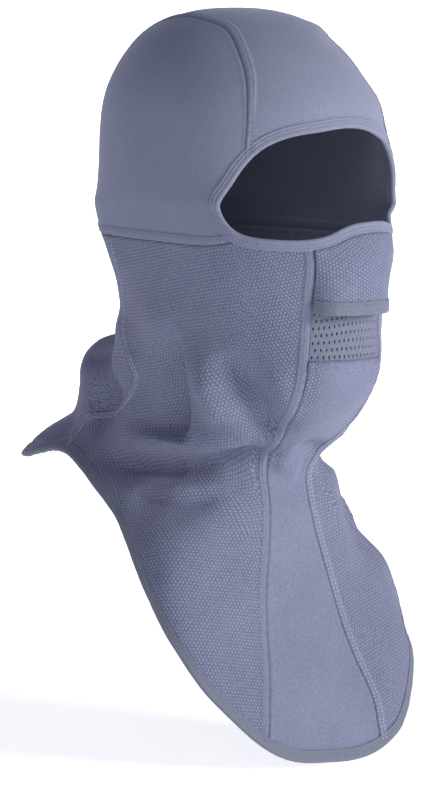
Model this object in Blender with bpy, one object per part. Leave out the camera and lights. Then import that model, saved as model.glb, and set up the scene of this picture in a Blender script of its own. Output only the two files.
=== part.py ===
"""A cold-weather balaclava: a fitted hood, a hinged nose flap over a mouth mesh, and a long bib.

The wearer faces -Y and +Z is up. The origin is on the lining, where the crown rests on the head.
Every panel is a patch of one smooth body, bounded by seams that are routes drawn on that body.
A place on the body is an azimuth, in degrees from the nose towards the left ear, and a station,
which counts outwards from the crown (0) past the brow (1) to the lowest edge (about 4.3).
"""

import bpy
import numpy as np

mm = 0.001

# Head: a dome with a superellipse profile
head_half_width = 78.5 * mm
head_half_length = 98 * mm
dome_height = 95 * mm
dome_power = 2.4
crown_set_back = 8 * mm

# Below the brow, each level gives its station, in mm its drop below the brow at the front, side and back,
# how much wider and longer than the head it is (a half, then the front and the back), how far back its
# sides sit, and how far its corners are squared.
levels = (
    dict(name="eye", station=1.3, drop=(25, 23, 22), wider=-0.5, longer=(4, -1), side=0, square=2.5),
    dict(name="nose", station=1.6, drop=(50, 47, 43), wider=-3, longer=(11, -8), side=0, square=1),
    dict(name="mouth", station=2.0, drop=(85, 81, 69), wider=-9, longer=(3, -16), side=-3, square=0),
    dict(name="chin", station=2.3, drop=(117, 111, 92), wider=-12.5, longer=(3, -14), side=-2, square=0),
    dict(name="jaw", station=2.6, drop=(145, 137, 109), wider=-17.5, longer=(-13, -2), side=4, square=0),
    dict(name="throat", station=2.9, drop=(173, 162, 124), wider=-17.5, longer=(-49, 17), side=18, square=0),
    dict(name="collar", station=3.2, drop=(197, 183, 139), wider=-8.5, longer=(-53, 38), side=20, square=3),
    dict(name="shoulder", station=3.6, drop=(250, 211, 158), wider=9.5, longer=(-45, 62), side=14, square=11),
    dict(name="chest", station=4.0, drop=(305, 248, 179), wider=16.5, longer=(-28, 82), side=10, square=13),
    dict(name="bib", station=4.4, drop=(365, 290, 202), wider=20.5, longer=(-14, 100), side=8, square=14),
)

# Cloth
panel_thickness = 1.5 * mm
mesh_thickness = 1.0 * mm
seam_gap = 0.5 * mm
skin_gap = 0.6 * mm
lining_gap = 1.2 * mm

# Seam bands, which are flat cover stitches over each seam
seam_band_width = 7 * mm
seam_band_thickness = 0.6 * mm
band_end_gap = 0.6 * mm

# Folded bindings around the eye opening and along the lowest edge
eye_binding_width = 6.5 * mm
hem_binding_width = 7.5 * mm
binding_leaf = 0.7 * mm
edge_gap = 1.0 * mm

# Twin-needle stitching on the bindings and on the flap's hem
topstitch_width = 1.6 * mm
topstitch_thickness = 0.3 * mm
topstitch_inset = 1.2 * mm

# Nose flap: sewn under the eye binding, open along its lower edge
flap_lower_station = 1.965
flap_thickness = 1.4 * mm
flap_mesh_gap = 1.3 * mm
flap_lift = 7.5 * mm
flap_side_gap = 1.0 * mm
flap_hem_width = 6.0 * mm
mesh_lower_station = 2.235

# Routes: (azimuth, station) points on the wearer's left, mirrored for the right
eye_outline = (
    (0, 0.889), (16, 0.900), (30, 0.922), (44.5, 0.968), (51, 1.08), (54.2, 1.22),
    (53, 1.35), (48.5, 1.446), (37, 1.488), (23, 1.478), (12, 1.435), (0, 1.38),
)
hem_outline = (
    (0, 4.31), (15, 4.26), (30, 4.14), (45, 4.03), (60, 3.93), (75, 3.78), (90, 3.55),
    (105, 3.42), (118, 3.37), (130, 3.46), (142, 3.72), (160, 3.88), (180, 3.92),
)
crown_seam = (
    (45, 1.10), (44.5, 0.95), (43.5, 0.81), (44, 0.65), (49, 0.49), (62, 0.385), (88, 0.315),
    (116, 0.33), (136, 0.45), (146, 0.70), (150, 1.0), (151, 1.3), (151, 1.543),
)
ear_seam = ((40, 1.40), (50, 1.50), (60, 1.54), (75, 1.543), (115, 1.543), (151, 1.543), (180, 1.543))
front_seam = (
    (22, 1.35), (21.7, 1.53), (22, 1.75), (22, 2.0), (24, 2.23), (25.5, 2.46), (24.5, 2.62),
    (21, 2.74), (16.5, 2.88), (13, 3.03), (10.5, 3.2), (10, 3.4), (11.2, 3.65), (13, 3.9),
    (16.5, 4.17), (19, 4.5),
)
back_seam = (
    (115, 1.543), (114.5, 1.75), (118, 2.0), (119, 2.2), (113, 2.4), (108, 2.6), (110, 2.78),
    (116, 2.95), (119, 3.1), (118, 3.3), (117, 3.6),
)

# Where the hood's side panels turn from their front edge to their back edge, in percent of the crown seam
crown_bend = 55

right, left = -1, 1
sides = ((right, "right"), (left, "left"))
route_points = 600

# Rough lengths along the body of one degree and of one station, which space out a route's points
degree_length = 1.5 * mm
station_length = 85 * mm

# How many rows or columns of faces the pieces have
hood_columns = 16
side_rows = 10
mouth_rows = 5
bib_rows = 20
back_rows = 25
binding_steps = dict(eye=65, hem=141)
band_steps = dict(crown=32, front=38, back=24, ear=48, mesh=10)


# ---- The body surface ----

def natural_spline(at, values):
    """A cubic spline through the values, with no curvature at its ends."""
    count = len(at)
    step = np.diff(at)
    system = np.zeros((count, count))
    goal = np.zeros((count, values.shape[1]))
    system[0, 0] = system[-1, -1] = 1
    for i in range(1, count - 1):
        system[i, i - 1:i + 2] = step[i - 1], 2 * (step[i - 1] + step[i]), step[i]
        goal[i] = 6 * ((values[i + 1] - values[i]) / step[i] - (values[i] - values[i - 1]) / step[i - 1])
    bend = np.linalg.solve(system, goal)

    def value(place):
        place = np.asarray(place, float)
        i = np.clip(np.searchsorted(at, place) - 1, 0, count - 2)
        t = (place - at[i])[..., None]
        h = step[i][..., None]
        slope = (values[i + 1] - values[i]) / h - h * (2 * bend[i] + bend[i + 1]) / 6
        return values[i] + slope * t + bend[i] / 2 * t ** 2 + (bend[i + 1] - bend[i]) / (6 * h) * t ** 3

    return value


def body_rows():
    """Station rows: depths at front, side and back, half width, y at front, back and side, squaring."""
    rows = []
    for station in (0, 0.12, 0.25, 0.4, 0.55, 0.7, 0.85, 1):
        angle = np.pi / 2 * station ** 1.2
        reach = np.sin(angle) ** (2 / dome_power)
        drop = 1 - np.cos(angle) ** (2 / dome_power)
        middle = crown_set_back * (1 - drop) ** 1.5
        ends = middle - head_half_length * reach, middle + head_half_length * reach, middle
        rows.append((station, *[dome_height * drop] * 3, head_half_width * reach, *ends, 0))
    for level in levels:
        front, back = (head_half_length + more * mm for more in level["longer"])
        drops = [dome_height + drop * mm for drop in level["drop"]]
        half_width = head_half_width + level["wider"] * mm
        reaches = -front, back, level["side"] * mm
        rows.append((level["station"], *drops, half_width, *reaches, level["square"] * mm))
    return np.array(rows)


rows = body_rows()
body_spline = natural_spline(rows[:, 0], rows[:, 1:])


def around(front, side, back, azimuth):
    """A smooth closed wave that has the three values at the front, the side and the back."""
    wave = (front - back) / 2 * np.cos(azimuth)
    return (front + back) / 4 + side / 2 + wave + ((front + back) / 4 - side / 2) * np.cos(2 * azimuth)


def chart(azimuth, station):
    """The flat map that the panels are drawn on: polar, with the crown at its middle."""
    angle = np.radians(azimuth)
    return np.stack([station * np.sin(angle), -station * np.cos(angle)], -1)


def unchart(place):
    return np.arctan2(place[..., 0], -place[..., 1]), np.hypot(place[..., 0], place[..., 1])


def body_point(place):
    azimuth, station = unchart(place)
    front, side, back, half_width, y_front, y_back, y_side, square = np.moveaxis(body_spline(station), -1, 0)
    x = (half_width + square) * np.sin(azimuth) + square * np.sin(3 * azimuth)
    y = around(y_front, y_side, y_back, azimuth)
    z = panel_thickness - around(front, side, back, azimuth)
    return np.stack([x, y, z], -1)


def body_slopes(place, step=1e-4):
    across = np.array([step, 0])
    along = np.array([0, step])
    first = (body_point(place + across) - body_point(place - across)) / (2 * step)
    second = (body_point(place + along) - body_point(place - along)) / (2 * step)
    return first, second


def unit(vector):
    return vector / np.linalg.norm(vector, axis=-1, keepdims=True)


def body_normal(place):
    first, second = body_slopes(place)
    return unit(np.cross(first, second))


def moved(place, step):
    """The place reached by a small step in space along the body."""
    first, second = body_slopes(place)
    matrix = np.stack([first, second], -1)
    square = np.swapaxes(matrix, -1, -2) @ matrix
    return place + np.linalg.solve(square, np.swapaxes(matrix, -1, -2) @ step[..., None])[..., 0]


# ---- Routes on the body ----

def evenly(places, count=route_points, start=0.0, end=0.0):
    """The route as evenly spaced places, with a length trimmed off each end."""
    points = body_point(places)
    run = np.concatenate([[0], np.cumsum(np.linalg.norm(np.diff(points, axis=0), axis=1))])
    wanted = np.linspace(start, run[-1] - end, count)
    return np.stack([np.interp(wanted, run, places[:, i]) for i in range(2)], -1)


def by_bend(places, count):
    """The route as places that are closer together where it bends."""
    fine = evenly(places)
    ahead = unit(np.diff(body_point(fine), axis=0))
    turn = np.linalg.norm(np.diff(ahead, axis=0), axis=1)
    window = 41
    spread = np.convolve(np.concatenate([[0], turn]), np.ones(window) / window, mode="same")
    even_share = 0.6
    run = np.concatenate([[0], np.cumsum(even_share / len(spread) + spread / spread.sum())])
    return np.stack([np.interp(np.linspace(0, run[-1], count), run, fine[:, i]) for i in range(2)], -1)


def smoothed(points, first, last, count):
    """Places along a smooth curve through (azimuth, station) points, from one of them to another."""
    scaled = points * (degree_length, station_length)
    run = np.concatenate([[0], np.cumsum(np.linalg.norm(np.diff(scaled, axis=0), axis=1))])
    return natural_spline(run, points)(np.linspace(run[first], run[last], count))


def route(points, side=left):
    """A smooth route through (azimuth, station) points, on the left or the right."""
    smooth = smoothed(np.array(points, float), 0, -1, route_points)
    return evenly(chart(side * smooth[:, 0], smooth[:, 1]))


def loop(points):
    """A closed smooth route through the points of the left half and their mirror images."""
    points = np.array(points, float)
    mirrored = points[-2:0:-1] * (-1, 1)
    turn = np.array([360 if points[-1, 0] == 180 else 0, 0])
    whole = np.concatenate([points, mirrored + turn])
    overlap = 4
    padded = np.concatenate([whole[-overlap:] - turn, whole, whole[:overlap] + turn])
    smooth = smoothed(padded, overlap, overlap + len(whole), 2 * route_points)
    return evenly(chart(smooth[:, 0], smooth[:, 1]), 2 * route_points)


def sideways(places, closed=False):
    """Unit vectors in the body's surface, to the left of the route's direction seen from outside."""
    points = body_point(places)
    if closed:
        ahead = np.roll(points[:-1], -1, axis=0) - np.roll(points[:-1], 1, axis=0)
        ahead = np.concatenate([ahead, ahead[:1]])
    else:
        ahead = np.gradient(points, axis=0)
    return unit(np.cross(body_normal(places), unit(ahead)))


def offset(places, distance, closed=False):
    """The route moved sideways along the body by a distance."""
    return moved(places, distance * sideways(places, closed))


def crossing(first, second):
    """Where two routes meet, as an index into each."""
    gap = np.linalg.norm(body_point(first)[:, None] - body_point(second)[None], axis=-1)
    return np.unravel_index(gap.argmin(), gap.shape)


def half(closed_route, side):
    """One side of a closed route, from its place above the nose or at the chest to the opposite place."""
    middle = len(closed_route) // 2
    first, second = closed_route[:middle + 1], closed_route[:middle - 1:-1]
    return first if (first[middle // 2, 0] > 0) == (side == left) else second


# ---- Meshes ----

def material(name, colour, roughness):
    made = bpy.data.materials.new(name)
    made.use_nodes = True
    shader = made.node_tree.nodes["Principled BSDF"]
    shader.inputs["Base Color"].default_value = (*colour, 1)
    shader.inputs["Roughness"].default_value = roughness
    shader.inputs["Metallic"].default_value = 0
    return made


def add_object(name, points, faces, made_of):
    mesh = bpy.data.meshes.new(name)
    mesh.from_pydata([tuple(point) for point in points], [], faces)
    mesh.materials.append(made_of)
    mesh.shade_smooth()
    mesh.set_sharp_from_angle(angle=np.radians(50))
    made = bpy.data.objects.new(name, mesh)
    bpy.context.scene.collection.objects.link(made)
    return made


def grid_faces(rows_count, columns_count):
    """Quads of a grid that runs outwards in its rows and to the left in its columns."""
    faces = []
    for i in range(rows_count - 1):
        for j in range(columns_count - 1):
            here = i * columns_count + j
            faces.append((here, here + columns_count, here + columns_count + 1, here + 1))
    return faces


def inset_edges(grid, distance):
    """Draws the four edges of a grid of points in, each towards its neighbour inside."""
    grid = grid.copy()
    for edge, inner in ((0, 1), (-1, -2)):
        grid[edge] += distance * unit(grid[inner] - grid[edge])
    for edge, inner in ((0, 1), (-1, -2)):
        grid[:, edge] += distance * unit(grid[:, inner] - grid[:, edge])
    return grid


def sheet(name, grid, places, thickness, made_of, origin=(0, 0, 0)):
    """A closed shell: the grid is its outer face and its thickness goes inwards."""
    facing_way = np.cross(grid[1, 0] - grid[0, 0], grid[0, 1] - grid[0, 0])
    faces = grid_faces(*grid.shape[:2])
    if facing_way @ body_normal(places[0, 0]) < 0:
        faces = [face[::-1] for face in faces]
    made = add_object(name, grid.reshape(-1, 3) - origin, faces, made_of)
    made.location = origin
    shell = made.modifiers.new("thickness", "SOLIDIFY")
    shell.thickness = thickness
    shell.offset = -1
    return made


def patch(top, bottom, first, last, polar=True):
    """A grid of places filled in between four routes, which meet at its corners."""
    routes = [np.asarray(each) for each in (top, bottom, first, last)]
    if polar:
        routes = [np.stack(unchart(each), -1) for each in routes]
        for each in routes:
            each[:, 0] = np.unwrap(each[:, 0])
        routes[3][:, 0] += 2 * np.pi * np.round((routes[0][-1, 0] - routes[3][0, 0]) / (2 * np.pi))
        routes[1][:, 0] += 2 * np.pi * np.round((routes[2][-1, 0] - routes[1][0, 0]) / (2 * np.pi))
    top, bottom, first, last = routes
    u = np.linspace(0, 1, len(top))[None, :, None]
    v = np.linspace(0, 1, len(first))[:, None, None]
    between = (1 - v) * top[None] + v * bottom[None] + (1 - u) * first[:, None] + u * last[:, None]
    corners = (1 - v) * ((1 - u) * top[0] + u * top[-1]) + v * ((1 - u) * bottom[0] + u * bottom[-1])
    places = between - corners
    return chart(np.degrees(places[..., 0]), places[..., 1]) if polar else places


def panel(name, places, made_of, thickness=panel_thickness):
    return sheet(name, inset_edges(body_point(places), seam_gap / 2), places, thickness, made_of)


def band(name, places, width, thickness, height, made_of, closed=False):
    """A flat strip that follows a route, at a height above the cloth, its thickness outwards."""
    edges = [offset(places, distance, closed) for distance in (-width / 2, width / 2)]
    profile = []
    for place, level in ((0, height), (0, height + thickness), (1, height + thickness), (1, height)):
        profile.append(body_point(edges[place]) + level * body_normal(edges[place]))
    return swept(name, np.stack(profile, 1), made_of, closed)


def swept(name, profiles, made_of, closed):
    """A closed solid through a row of profiles, which all have the same number of points."""
    if closed:
        profiles = profiles[:-1]
    count, corners = profiles.shape[:2]
    faces = []
    for i in range(count if closed else count - 1):
        for j in range(corners):
            this, following = i * corners, (i + 1) % count * corners
            near, far = j, (j + 1) % corners
            faces.append((this + near, this + far, following + far, following + near))
    if not closed:
        faces.append(tuple(range(corners))[::-1])
        faces.append(tuple((count - 1) * corners + j for j in range(corners)))
    made = add_object(name, profiles.reshape(-1, 3), faces, made_of)
    volume = sum(
        np.dot(made.data.vertices[a].co, np.cross(made.data.vertices[b].co, made.data.vertices[c].co))
        for face in faces
        for a, b, c in [(face[0], face[i], face[i + 1]) for i in range(1, len(face) - 1)]
    )
    if volume < 0:
        made.data.flip_normals()
    return made


def binding(name, outline, width, made_of):
    """A folded tape around the cloth's edge: an outer leaf, the fold and an inner leaf."""
    top = skin_gap + binding_leaf
    bottom = -panel_thickness - lining_gap - binding_leaf
    corners = (
        (0, top), (width, top), (width, top - binding_leaf), (binding_leaf, top - binding_leaf),
        (binding_leaf, bottom + binding_leaf), (width, bottom + binding_leaf), (width, bottom), (0, bottom),
    )
    profiles = []
    for inwards, level in corners:
        places = offset(outline, inwards, closed=True)
        profiles.append(body_point(places) + level * body_normal(places))
    return swept(name, np.stack(profiles, 1), made_of, closed=True)


# ---- The pieces ----

for old in list(bpy.data.objects):
    bpy.data.objects.remove(old, do_unlink=True)

knit = material("smooth_knit", (0.130, 0.141, 0.216), 0.85)
softshell = material("honeycomb_softshell", (0.150, 0.162, 0.240), 0.88)
facing = material("facing_tape", (0.180, 0.195, 0.240), 0.8)
thread = material("seam_thread", (0.220, 0.230, 0.300), 0.75)
mesh_cloth = material("spacer_mesh", (0.160, 0.175, 0.245), 0.85)

eye_loop = loop(eye_outline)
hem_loop = loop(hem_outline)
cloth_edge = binding_leaf + edge_gap
eye_edge = offset(eye_loop, cloth_edge, closed=True)
hem_edge = offset(hem_loop, cloth_edge, closed=True)


def side_routes(side):
    """The seams of one side, cut where they meet the cloth's edges and each other."""
    eye = half(eye_edge, side)
    hem = half(hem_edge, side)
    drawn = dict(crown=crown_seam, ear=ear_seam, front=front_seam, back=back_seam)
    seams = {name: route(points, side) for name, points in drawn.items()}
    meets = {}
    for name in ("crown", "ear", "front"):
        start, meets[name] = crossing(seams[name], eye)
        seams[name] = np.concatenate([eye[meets[name]][None], seams[name][start + 1:]])
    for name in ("front", "back"):
        end, meets[name + "_hem"] = crossing(seams[name], hem)
        seams[name] = np.concatenate([seams[name][:end], hem[meets[name + "_hem"]][None]])
    for name, end in (("crown", -1), ("back", 0)):
        meets[name + "_ear"] = crossing(seams[name][end][None], seams["ear"])[1]
        seams[name][end] = seams["ear"][meets[name + "_ear"]]
    bend = len(seams["crown"]) * crown_bend // 100
    chin = front_crossing(seams["front"], mesh_lower_station)
    shared = {
        "crown_front": evenly(seams["crown"][:bend + 1], side_rows + 1),
        "crown_back": evenly(seams["crown"][bend:], side_rows + 1),
        "front_mouth": evenly(seams["front"][:chin + 1], mouth_rows + 1),
        "front_bib": by_bend(seams["front"][chin:], bib_rows + 1),
        "back": by_bend(seams["back"], back_rows + 1),
    }
    return dict(seams=seams, meets=meets, eye=eye, hem=hem, shared=shared)


def joined(first, second):
    """Two runs of places end to end, with their common place once."""
    return np.concatenate([first, second[1:]])


def front_crossing(seam, station):
    return int(np.abs(unchart(seam)[1] - station).argmin())


def across_middle(found, line, meet, columns, from_start):
    """The run of a line across the middle, from where a seam meets it on the right to the same on the left.

    The middle is the line's first place or its last.
    """
    parts = []
    for routes in found:
        whole = routes["seams"].get(line, routes.get(line))
        place = routes["meets"][meet]
        parts.append(whole[:place + 1][::-1] if from_start else whole[place:])
    return evenly(joined(parts[0], parts[1][::-1]), columns + 1)


def min_gap(edges, near):
    gaps = [np.linalg.norm(edge[:, None] - near[None, ::3], axis=-1).min(axis=1) for edge in edges]
    return np.min(gaps, axis=0)


def clear(seam, width, start=(), end=()):
    """The seam with each end cut back until a band along it clears the routes there."""
    edges = [body_point(offset(seam, distance)) for distance in (-width / 2, 0, width / 2)]
    first, last = 0, len(seam)
    for obstacles, at_start in ((start, True), (end, False)):
        for obstacle, distance in obstacles:
            near = body_point(obstacle)
            gap = min_gap(edges, near)
            inside = np.flatnonzero(gap < distance)
            inside = inside[inside < len(seam) // 2] if at_start else inside[inside >= len(seam) // 2]
            if len(inside) and at_start:
                first = max(first, inside[-1] + 1)
            if len(inside) and not at_start:
                last = min(last, inside[0])
    return seam[first:last]


def make_side(name, found):
    seams, meets, eye, hem, shared = (found[key] for key in ("seams", "meets", "eye", "hem", "shared"))
    ear = seams["ear"]
    hood = patch(
        shared["crown_front"][::-1], evenly(ear[:meets["crown_ear"] + 1][::-1], side_rows + 1),
        shared["crown_back"], evenly(eye[meets["crown"]:meets["ear"] + 1], side_rows + 1),
    )
    panel("hood_side_panel_" + name, hood, knit)
    rim_columns, ear_columns = 4, 11
    along_rim = evenly(eye[meets["ear"]:meets["front"] + 1][::-1], rim_columns + 1)
    from_front = joined(along_rim, evenly(ear[:meets["back_ear"] + 1], ear_columns + 1))
    along_hem = evenly(hem[meets["front_hem"]:meets["back_hem"] + 1], rim_columns + ear_columns + 1)
    front = joined(shared["front_mouth"], shared["front_bib"])
    panel("side_panel_" + name, patch(from_front, along_hem, front, shared["back"]), softshell)

    at_eye = (eye_loop, eye_binding_width + band_end_gap)
    at_hem = (hem_loop, hem_binding_width + band_end_gap)
    at_ear = (ear, seam_band_width / 2 + band_end_gap)
    ends = dict(crown=((at_eye,), (at_ear,)), front=((at_eye,), (at_hem,)), back=((at_ear,), (at_hem,)))
    for seam, (start, end) in ends.items():
        places = by_bend(clear(seams[seam], seam_band_width, start, end), band_steps[seam])
        title = seam + "_seam_band_" + name
        band(title, places, seam_band_width, seam_band_thickness, skin_gap, thread)


def make_middle(found):
    """The pieces that cross the middle, between the routes of the right and the left."""
    shared = [routes["shared"] for routes in found]
    brow = across_middle(found, "eye", "crown", hood_columns, True)
    nape = across_middle(found, "ear", "crown_ear", hood_columns, False)
    crowns = [joined(each["crown_front"], each["crown_back"]) for each in shared]
    panel("hood_centre_panel", patch(brow, nape, *crowns, polar=False), knit)

    below_ear = across_middle(found, "ear", "back_ear", hood_columns, False)
    hem_back = across_middle(found, "hem", "back_hem", hood_columns, False)
    backs = [each["back"] for each in shared]
    panel("back_neck_panel", patch(below_ear, hem_back, *backs), softshell)

    mouth_columns, bib_columns = 8, 10
    under_eye = across_middle(found, "eye", "front", mouth_columns, False)
    mouths = [each["front_mouth"] for each in shared]
    mesh_seam = level_route(mouths[0][-1], mouths[1][-1], mouth_columns + 1)
    panel("mouth_mesh", patch(under_eye, mesh_seam, *mouths), mesh_cloth, mesh_thickness)

    chin = level_route(mesh_seam[0], mesh_seam[-1], bib_columns + 1)
    hem_front = across_middle(found, "hem", "front_hem", bib_columns, True)
    bibs = [each["front_bib"] for each in shared]
    panel("front_panel", patch(chin, hem_front, *bibs), softshell)

    beside = seam_band_width / 2 + band_end_gap
    mesh_route = level_route(mesh_seam[0], mesh_seam[-1], route_points)
    places = evenly(mesh_route, band_steps["mesh"], beside, beside)
    band("mesh_lower_seam_band", places, seam_band_width / 2, seam_band_thickness, skin_gap, thread)
    ears = [routes["seams"]["ear"] for routes in found]
    at_eye = ((eye_loop, eye_binding_width + band_end_gap),)
    places = evenly(clear(joined(ears[0], ears[1][::-1]), seam_band_width, at_eye, at_eye), band_steps["ear"])
    band("ear_seam_band", places, seam_band_width, seam_band_thickness, skin_gap, thread)


def level_route(start, end, count):
    """A route across the front, straight on the polar map."""
    ends = np.stack([np.array(unchart(start)), np.array(unchart(end))])
    steps = np.linspace(0, 1, count)[:, None]
    both = ends[0] + steps * (ends[1] - ends[0])
    return chart(np.degrees(both[:, 0]), both[:, 1])


def flap_places(fronts):
    """The flap's outline: between the front seam bands, from the eye binding to its lower edge."""
    beside = seam_band_width / 2 + flap_side_gap
    right_edge = offset(fronts[0], beside)
    left_edge = offset(fronts[1], -beside)
    top_route = offset(eye_loop, eye_binding_width + band_end_gap + flap_thickness, closed=True)
    flap_sides = []
    for edge in (right_edge, left_edge):
        start, end = crossing(edge, top_route)[0], front_crossing(edge, flap_lower_station)
        flap_sides.append(edge[start:end + 1])
    corner = crossing(left_edge, half(top_route, left))[1]
    top = joined(half(top_route, right)[corner:], half(top_route, left)[corner:][::-1])
    flap_columns, flap_rows = 12, 10
    bottom = level_route(flap_sides[0][-1], flap_sides[1][-1], flap_columns + 1)
    return patch(evenly(top, flap_columns + 1), bottom, *[evenly(each, flap_rows + 1) for each in flap_sides])


def make_flap(fronts):
    places = flap_places(fronts)
    rows_count, columns_count = places.shape[:2]
    down = np.linspace(0, 1, rows_count)[:, None]
    across = np.linspace(-1, 1, columns_count)[None]
    lift = flap_lift * down ** 1.3 * (1 - np.abs(across) ** 5)
    height = flap_mesh_gap + flap_thickness + lift
    grid = body_point(places) + height[..., None] * body_normal(places)
    hinge = grid[0, columns_count // 2] * (0, 1, 1)
    sheet("nose_flap", grid, places, flap_thickness, softshell, hinge)
    fold(grid[-1], grid[-2], hinge)


def fold(lower, inner, hinge):
    """The smooth tape folded over the flap's lower edge, and its twin stitching."""
    along = unit(inner - lower)
    across = unit(np.gradient(lower, axis=0))
    out = unit(np.cross(along, across))
    out *= -np.sign(out[:, 1].mean())
    top = skin_gap + binding_leaf
    bottom = -flap_thickness - top
    low = -edge_gap - binding_leaf
    corners = (
        (low, top), (flap_hem_width, top), (flap_hem_width, skin_gap), (-edge_gap, skin_gap),
        (-edge_gap, bottom + binding_leaf), (flap_hem_width, bottom + binding_leaf),
        (flap_hem_width, bottom), (low, bottom),
    )
    profiles = np.stack([lower + inwards * along + level * out for inwards, level in corners], 1)
    tape = swept("nose_flap_facing", profiles - hinge, facing, closed=False)
    tape.location = hinge

    line = flap_hem_width - topstitch_inset
    low = top + skin_gap / 2
    high = low + topstitch_thickness
    corners = ((line, low), (line, high), (line - topstitch_width, high), (line - topstitch_width, low))
    profiles = np.stack([lower + inwards * along + level * out for inwards, level in corners], 1)
    stitches = swept("nose_flap_topstitch", profiles[1:-1] - hinge, thread, closed=False)
    stitches.location = hinge


def make_bindings():
    height = skin_gap * 1.5 + binding_leaf
    for name, outline, width in (("eye", eye_loop, eye_binding_width), ("hem", hem_loop, hem_binding_width)):
        places = evenly(outline, binding_steps[name])
        title = "eye_opening_binding" if name == "eye" else "hem_binding"
        binding(title, places, width, facing)
        line = offset(places, width - topstitch_inset - topstitch_width / 2, closed=True)
        title = name + "_binding_topstitch"
        band(title, line, topstitch_width, topstitch_thickness, height, thread, closed=True)


def main():
    found = {name: side_routes(side) for side, name in sides}
    for name, routes in found.items():
        make_side(name, routes)
    make_middle(list(found.values()))
    make_flap([routes["seams"]["front"] for routes in found.values()])
    make_bindings()


main()
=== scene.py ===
import bpy
import numpy as np
from mathutils import Euler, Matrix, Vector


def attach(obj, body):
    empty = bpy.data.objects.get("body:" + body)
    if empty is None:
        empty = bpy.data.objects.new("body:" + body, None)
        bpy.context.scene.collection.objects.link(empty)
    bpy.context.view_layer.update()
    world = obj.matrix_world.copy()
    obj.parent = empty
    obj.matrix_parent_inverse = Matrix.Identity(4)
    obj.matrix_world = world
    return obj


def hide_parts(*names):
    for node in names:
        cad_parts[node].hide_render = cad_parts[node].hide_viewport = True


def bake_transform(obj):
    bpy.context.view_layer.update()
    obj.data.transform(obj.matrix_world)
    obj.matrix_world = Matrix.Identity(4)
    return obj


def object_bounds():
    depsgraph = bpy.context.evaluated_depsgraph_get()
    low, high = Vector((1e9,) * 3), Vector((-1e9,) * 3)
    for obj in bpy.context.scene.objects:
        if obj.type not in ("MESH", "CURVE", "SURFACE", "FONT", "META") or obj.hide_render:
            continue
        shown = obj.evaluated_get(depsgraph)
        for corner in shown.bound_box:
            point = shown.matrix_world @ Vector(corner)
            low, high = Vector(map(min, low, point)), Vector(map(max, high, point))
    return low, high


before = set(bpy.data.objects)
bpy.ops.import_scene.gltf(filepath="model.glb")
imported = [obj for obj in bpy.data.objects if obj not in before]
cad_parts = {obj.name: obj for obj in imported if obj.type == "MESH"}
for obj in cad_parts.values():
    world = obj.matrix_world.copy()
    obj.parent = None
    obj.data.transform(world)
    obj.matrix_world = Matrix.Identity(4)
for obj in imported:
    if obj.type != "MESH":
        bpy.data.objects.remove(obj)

mm = 0.001
cadBox = [list(corner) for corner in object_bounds()]
scene = bpy.context.scene
print("frame loaded")

# The body that every piece lies on. Lengths are in mm: for each level its station, its drop below the
# brow at the front, side and back, and how much wider and longer than the head it is
head = dict(halfWidth=78.5, halfLength=98, height=95, power=2.4, setBack=8, cloth=1.5)
levels = dict(
    eye=(1.3, (25, 23, 22), -0.5, (4, -1), 0, 2.5),
    nose=(1.6, (50, 47, 43), -3, (11, -8), 0, 1),
    mouth=(2.0, (85, 81, 69), -9, (3, -16), -3, 0),
    chin=(2.3, (117, 111, 92), -12.5, (3, -14), -2, 0),
    jaw=(2.6, (145, 137, 109), -17.5, (-13, -2), 4, 0),
    throat=(2.9, (173, 162, 124), -17.5, (-49, 17), 18, 0),
    collar=(3.2, (197, 183, 139), -8.5, (-53, 38), 20, 3),
    shoulder=(3.6, (250, 211, 158), 9.5, (-45, 62), 14, 11),
    chest=(4.0, (305, 248, 179), 16.5, (-28, 82), 10, 13),
    bib=(4.4, (365, 290, 202), 20.5, (-14, 100), 8, 14),
)


# Each vector over its own length
def unit(vectors):
    return vectors / np.linalg.norm(vectors, axis=-1, keepdims=True)


# 3 t^2 - 2 t^3 of the share t from low to high, held at 0 and 1 beyond them
def smoothStep(low, high, values):
    t = np.clip((values - low) / (high - low), 0, 1)
    return t * t * (3 - 2 * t)


# A cubic between each two knots, whose bends come from one linear system and are nothing at the ends
def naturalSpline(at, values):
    step = np.diff(at)
    inner = np.arange(1, len(at) - 1)
    system = np.eye(len(at))
    system[inner, inner - 1], system[inner, inner + 1] = step[:-1], step[1:]
    system[inner, inner] = 2 * (step[:-1] + step[1:])
    goal = np.zeros(values.shape)
    goal[1:-1] = 6 * np.diff(np.diff(values, axis=0) / step[:, None], axis=0)
    bend = np.linalg.solve(system, goal)

    def value(place):
        place = np.asarray(place, float)
        i = np.clip(np.searchsorted(at, place) - 1, 0, len(at) - 2)
        t, h = (place - at[i])[..., None], step[i][..., None]
        slope = (values[i + 1] - values[i]) / h - h * (2 * bend[i] + bend[i + 1]) / 6
        return values[i] + slope * t + bend[i] / 2 * t ** 2 + (bend[i + 1] - bend[i]) / (6 * h) * t ** 3

    return value


# The dome's rows follow a superellipse quarter: reach = sin^(2/power), drop = 1 - cos^(2/power)
def bodyRows():
    station = np.array([0, 0.12, 0.25, 0.4, 0.55, 0.7, 0.85, 1])
    angle = np.pi / 2 * station ** 1.2
    reach = np.sin(angle) ** (2 / head["power"])
    drop = 1 - np.maximum(np.cos(angle), 0) ** (2 / head["power"])
    middle = head["setBack"] * (1 - drop) ** 1.5
    depth = head["height"] * drop
    length = head["halfLength"] * reach
    width = head["halfWidth"] * reach
    dome = [station, depth, depth, depth, width, middle - length, middle + length, middle]
    rows = [np.append(row, 0) for row in np.stack(dome, 1)]
    for station, drops, wider, (front, back), side, square in levels.values():
        rows.append([
            station, *[head["height"] + drop for drop in drops], head["halfWidth"] + wider,
            -head["halfLength"] - front, head["halfLength"] + back, side, square,
        ])
    rows = np.array(rows)
    return rows[:, 0], rows[:, 1:] * mm


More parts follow.
